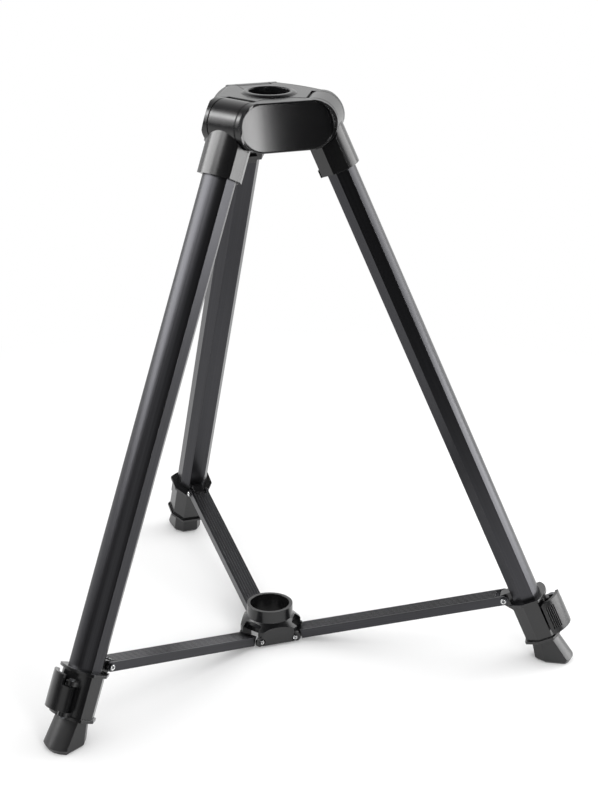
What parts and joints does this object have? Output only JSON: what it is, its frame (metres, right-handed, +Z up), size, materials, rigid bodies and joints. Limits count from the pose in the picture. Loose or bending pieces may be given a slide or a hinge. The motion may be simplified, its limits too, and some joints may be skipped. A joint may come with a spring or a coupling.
{
  "type": "folding tripod base",
  "caption": "Folding tripod base of a music stand with hinged telescopic legs, flip locks, braced spreader and pole sockets.",
  "frame": {"origin": "on the floor, where the pole's axis meets it", "axes": "+Z up along the pole, -Y towards the wide cover between the two front legs, +Y towards the back leg"},
  "size_m": [0.495, 0.4333, 0.5145],
  "materials": {
    "moulding": "fine-grained black moulding",
    "cover": "smooth satin black moulding",
    "tube": "satin black anodised",
    "steel": "bright",
    "rubber": "matt"
  },
  "bodies": {
    "crown": {"crown_body": "moulding", "socket_bush": "moulding", "side_cover_1": "cover", "side_cover_2": "cover", "side_cover_3": "cover", "hinge_bolt_1": "steel", "hinge_bolt_2": "steel", "hinge_bolt_3": "steel", "hinge_nut_1": "steel", "hinge_nut_2": "steel", "hinge_nut_3": "steel"},
    "leg_1": {"shoulder_1": "moulding", "leg_tube_1": "tube", "lock_collar_1": "moulding", "lever_pin_1": "steel", "arm_pin_1": "steel"},
    "leg_2": {"shoulder_2": "moulding", "leg_tube_2": "tube", "lock_collar_2": "moulding", "lever_pin_2": "steel", "arm_pin_2": "steel"},
    "leg_3": {"shoulder_3": "moulding", "leg_tube_3": "tube", "lock_collar_3": "moulding", "lever_pin_3": "steel", "arm_pin_3": "steel"},
    "lower_leg_1": {"lower_tube_1": "tube", "guide_plug_1": "moulding", "foot_1": "rubber"},
    "lower_leg_2": {"lower_tube_2": "tube", "guide_plug_2": "moulding", "foot_2": "rubber"},
    "lower_leg_3": {"lower_tube_3": "tube", "guide_plug_3": "moulding", "foot_3": "rubber"},
    "lever_1": {"lock_lever_1": "moulding"},
    "lever_2": {"lock_lever_2": "moulding"},
    "lever_3": {"lock_lever_3": "moulding"},
    "arm_1": {"spreader_arm_1": "tube", "arm_knuckle_1": "moulding"},
    "arm_2": {"spreader_arm_2": "tube", "arm_knuckle_2": "moulding"},
    "arm_3": {"spreader_arm_3": "tube", "arm_knuckle_3": "moulding"},
    "hub": {"spreader_hub": "moulding", "hub_pins_1": "steel", "hub_pins_2": "steel", "hub_pins_3": "steel"}
  },
  "joints": [
    {"name": "leg_1_fold", "type": "hinge", "parent": "crown", "child": "leg_1", "pos_m": [-0.03637, -0.021, 0.4923], "axis": [0.5, -0.866, 0], "range_deg": [0, 18.82]},
    {"name": "leg_2_fold", "type": "hinge", "parent": "crown", "child": "leg_2", "pos_m": [0.03637, -0.021, 0.4923], "axis": [0.5, 0.866, 0], "range_deg": [0, 18.82]},
    {"name": "leg_3_fold", "type": "hinge", "parent": "crown", "child": "leg_3", "pos_m": [0, 0.042, 0.4923], "axis": [-1, 0, 0], "range_deg": [0, 18.82]},
    {"name": "lower_leg_1_slide", "type": "slide", "parent": "leg_1", "child": "lower_leg_1", "axis": [-0.3558, -0.2054, -0.9117], "range_m": [0, 0.3]},
    {"name": "lower_leg_2_slide", "type": "slide", "parent": "leg_2", "child": "lower_leg_2", "axis": [0.3558, -0.2054, -0.9117], "range_m": [0, 0.3]},
    {"name": "lower_leg_3_slide", "type": "slide", "parent": "leg_3", "child": "lower_leg_3", "axis": [0, 0.4109, -0.9117], "range_m": [0, 0.3]},
    {"name": "lever_1_open", "type": "hinge", "parent": "leg_1", "child": "lever_1", "pos_m": [-0.2275, -0.13712, 0.04728], "axis": [0.3558, 0.2054, 0.9117], "range_deg": [0, 80]},
    {"name": "lever_2_open", "type": "hinge", "parent": "leg_2", "child": "lever_2", "pos_m": [0.2325, -0.12846, 0.04728], "axis": [-0.3558, 0.2054, 0.9117], "range_deg": [0, 80]},
    {"name": "lever_3_open", "type": "hinge", "parent": "leg_3", "child": "lever_3", "pos_m": [-0.005, 0.26558, 0.04728], "axis": [0, -0.4109, 0.9117], "range_deg": [0, 80]},
    {"name": "arm_1_turn", "type": "hinge", "parent": "leg_1", "child": "arm_1", "pos_m": [-0.18819, -0.10865, 0.0572], "axis": [-0.5, 0.866, 0], "range_deg": [0, 81.85]},
    {"name": "arm_2_turn", "type": "hinge", "parent": "leg_2", "child": "arm_2", "pos_m": [0.18819, -0.10865, 0.0572], "axis": [-0.5, -0.866, 0], "range_deg": [0, 81.85]},
    {"name": "arm_3_turn", "type": "hinge", "parent": "leg_3", "child": "arm_3", "pos_m": [0, 0.2173, 0.0572], "axis": [1, 0, 0], "range_deg": [0, 81.85]},
    {"name": "hub_slide", "type": "slide", "parent": "crown", "child": "hub", "axis": [0, 0, -1], "range_m": [0, 0.1755]}
  ],
  "couplings": [
    {"joint": "leg_2_fold", "follows": "leg_1_fold", "ratio": 1},
    {"joint": "leg_3_fold", "follows": "leg_1_fold", "ratio": 1},
    {"joint": "arm_1_turn", "follows": "leg_1_fold", "ratio": 4.3464},
    {"joint": "arm_2_turn", "follows": "leg_1_fold", "ratio": 4.3464},
    {"joint": "arm_3_turn", "follows": "leg_1_fold", "ratio": 4.3464},
    {"joint": "hub_slide", "follows": "leg_1_fold", "m_per_rad": 0.53378}
  ]
}
